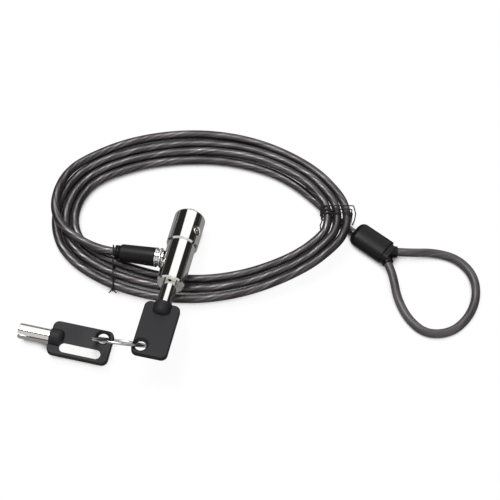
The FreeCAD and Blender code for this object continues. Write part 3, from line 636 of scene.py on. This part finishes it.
def sleeveGrid():
    # Section: |x / halfWidth|^p + |z / halfHeight|^p = 1. At station r(1 - cos t) from the entry end it is
    # drawn in by r(1 - sin t), a quarter of a circle, and at the collar by a third of a millimetre
    turn = np.linspace(0.0, np.pi / 2, crimp["endRings"])
    entry = crimp["endRound"] * (1 - np.cos(turn))
    entrySize = 1 - (1 - np.sin(turn)) * crimp["endRound"] / crimp["halfHeight"]
    middle = np.linspace(
        crimp["endRound"] + crimp["midFrom"], crimp["length"] - crimp["midTo"], crimp["midRings"])
    beforeEnd, collarSize = np.array(crimp["collarRings"]).T
    station = np.concatenate((entry, middle, crimp["length"] - beforeEnd))
    size = np.concatenate((entrySize, np.ones(crimp["midRings"]), collarSize))
    angle = np.arange(crimp["sides"]) * 2 * np.pi / crimp["sides"]
    power = 2 / crimp["squareness"]
    flat = np.sign(np.cos(angle)) * np.abs(np.cos(angle)) ** power * crimp["halfWidth"]
    tall = np.sign(np.sin(angle)) * np.abs(np.sin(angle)) ** power * crimp["halfHeight"]
    inward = (1 - size) * crimp["halfHeight"]
    widths = flat * (1 - inward / crimp["halfWidth"])[:, None] + crimp["aside"]
    heights = tall * size[:, None]
    base, along, across = (np.array(crimp[key]) for key in ("base", "along", "across"))
    level = base + station[:, None, None] * along + widths[..., None] * across
    return (level + heights[..., None] * np.array((0.0, 0.0, 1.0))) * mm


def buildSleeve():
    bar = addObject("sleeveBar", gridMesh("sleeveBar", sleeveGrid(), wrapColumns=True, capEnds=True))
    bar.data.materials.append(finishes["black_sleeve"])
    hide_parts("crimp_sleeve")
    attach(bar, "cable")
    print("sleeve built")
    return bar


buildHead()
buildFerrule()
buildCable(buildSleeve())


# Every part of the frame takes the finish of its own material
for name, node in nodes.items():
    for place in node.material_slots:
        if place.material and place.material.name in finishes:
            place.material = finishes[place.material.name]
print("frame parts finished")


# Stage: a white floor under a dark dome, with a wide light behind, a narrow strip overhead and a dimmer
# light in front, each with a soft edge; the camera itself sees plain white all round
stage = {
    "floorSize": 6.0,
    "floorDrop": 0.00005,
    "floorWhite": 0.95,
    "floorGlow": 0.90,
    "floorLevel": 1.03,
    # painted shade on the floor: the ambient occlusion levels mapped from none to full glow, and the
    # occlusion's reach and samples
    "paintedShadeAo": (0.28, 0.60),
    "paintedShadeReach": 0.007,
    "paintedShadeSamples": 8,
    "mirrored": 0.22,
    "mirroredFar": 0.02,
    "mirroredReach": (0.10, 0.26),
    "behind": 1.15,
    "between": 0.02,
    "behindWay": (0.28, 0.81, 0.51),
    "behindEdge": (0.87, 0.90),
    "strip": 0.85,
    "stripEdge": (0.14, 0.22),
    "stripLow": (0.10, 0.25),
    "front": 0.65,
    "frontEdge": (0.15, 0.35),
    "lampPlace": (-0.35, 0.45, 1.3),
    "lampAim": (0.06, 0.03, 0.0),
    "lampSize": 0.7,
    "lampPower": 12.0,
}


def makeFloor():
    # Seen directly it glows white, less so in crevices, where painted shade darkens the glow as a contact
    # shadow; in reflections it is dim, and nearly black far out
    half = stage["floorSize"] / 2
    side = np.array((-half, half))
    x, y = np.meshgrid(side, side, indexing="xy")
    grid = np.stack((x, y, np.full_like(x, -stage["floorDrop"])), axis=-1)
    floor = addObject("floor", gridMesh("floor", grid))
    material = bpy.data.materials.new("floorWhite")
    material.use_nodes = True
    tree = material.node_tree
    tree.nodes.clear()
    out = tree.nodes.new("ShaderNodeOutputMaterial")
    paper = tree.nodes.new("ShaderNodeBsdfDiffuse")
    paper.inputs["Color"].default_value = (stage["floorWhite"],) * 3 + (1.0,)
    glow = tree.nodes.new("ShaderNodeEmission")
    # Painted shade: ambient occlusion dims the floor's glow, a contact shadow drawn under parts and between
    # strands
    hidden = tree.nodes.new("ShaderNodeAmbientOcclusion")
    hidden.samples = stage["paintedShadeSamples"]
    hidden.inputs["Distance"].default_value = stage["paintedShadeReach"]
    paintedShadeFactor = rangeNode(tree, hidden.outputs["AO"], *stage["paintedShadeAo"], 0.0, 1.0, smooth=True)
    far = tree.nodes.new("ShaderNodeVectorMath")
    far.operation = "LENGTH"
    link(tree, tree.nodes.new("ShaderNodeTexCoord").outputs["Object"], far.inputs[0])
    levels = (stage["mirrored"], stage["mirroredFar"])
    near = rangeNode(tree, far.outputs["Value"], *stage["mirroredReach"], *levels, smooth=True)
    rays = tree.nodes.new("ShaderNodeLightPath")
    mirror = mathNode(tree, "MAXIMUM", rays.outputs["Is Glossy Ray"], rays.outputs["Is Transmission Ray"])
    direct = mathNode(tree, "MULTIPLY", rays.outputs["Is Camera Ray"], stage["floorLevel"])
    level = mathNode(tree, "MAXIMUM", direct, mathNode(tree, "MULTIPLY", mirror, near))
    link(tree, mathNode(tree, "MULTIPLY", level, paintedShadeFactor), glow.inputs["Strength"])
    seen = mathNode(tree, "MAXIMUM", rays.outputs["Is Camera Ray"], mirror)
    mix = tree.nodes.new("ShaderNodeMixShader")
    link(tree, mathNode(tree, "MULTIPLY", seen, stage["floorGlow"]), mix.inputs["Fac"])
    link(tree, paper.outputs[0], mix.inputs[1])
    link(tree, glow.outputs[0], mix.inputs[2])
    link(tree, mix.outputs[0], out.inputs["Surface"])
    floor.data.materials.append(material)


def makeSky():
    # Light by direction: behind where the way there is near behindWay, overhead where |x| is small,
    # in front where y is well below nought, the last two less near the horizon; the brightest counts
    world = bpy.data.worlds.new("studio")
    bpy.context.scene.world = world
    world.use_nodes = True
    tree = world.node_tree
    tree.nodes.clear()
    out = tree.nodes.new("ShaderNodeOutputWorld")
    aim = tree.nodes.new("ShaderNodeVectorMath")
    aim.operation = "DOT_PRODUCT"
    direction = tree.nodes.new("ShaderNodeTexCoord").outputs["Generated"]
    link(tree, direction, aim.inputs[0])
    aim.inputs[1].default_value = stage["behindWay"]
    levels = (stage["between"], stage["behind"])
    behind = rangeNode(tree, aim.outputs["Value"], *stage["behindEdge"], *levels, smooth=True)
    parts = tree.nodes.new("ShaderNodeSeparateXYZ")
    link(tree, direction, parts.inputs[0])
    across = mathNode(tree, "ABSOLUTE", parts.outputs["X"])
    strip = rangeNode(tree, across, *stage["stripEdge"], stage["strip"], 0.0, smooth=True)
    above = rangeNode(tree, parts.outputs["Z"], *stage["stripLow"], 0.0, 1.0, smooth=True)
    before = mathNode(tree, "MULTIPLY", parts.outputs["Y"], -1.0)
    front = rangeNode(tree, before, *stage["frontEdge"], 0.0, stage["front"], smooth=True)
    lit = mathNode(tree, "MULTIPLY", mathNode(tree, "MAXIMUM", strip, front), above)
    sky, plain = (tree.nodes.new("ShaderNodeBackground") for _ in range(2))
    for light in (sky, plain):
        light.inputs["Color"].default_value = (1.0, 1.0, 1.0, 1.0)
    link(tree, mathNode(tree, "MAXIMUM", behind, lit), sky.inputs["Strength"])
    rays = tree.nodes.new("ShaderNodeLightPath")
    mix = tree.nodes.new("ShaderNodeMixShader")
    link(tree, rays.outputs["Is Camera Ray"], mix.inputs["Fac"])
    link(tree, sky.outputs[0], mix.inputs[1])
    link(tree, plain.outputs[0], mix.inputs[2])
    link(tree, mix.outputs[0], out.inputs["Surface"])


def makeLamp():
    # A lamp shines down its own z: it tilts by the angle between its way and straight down, then turns
    lamp = bpy.data.lights.new("softLamp", "AREA")
    lamp.size = stage["lampSize"]
    lamp.energy = stage["lampPower"]
    holder = addObject("softLamp", lamp)
    holder.location = stage["lampPlace"]
    x, y, z = np.subtract(stage["lampPlace"], stage["lampAim"]).tolist()
    holder.rotation_euler = (math.atan2(math.hypot(x, y), z), 0.0, math.atan2(x, -y))


makeFloor()
makeSky()
makeLamp()
bpy.context.scene.view_settings.view_transform = "Standard"
print("stage set")
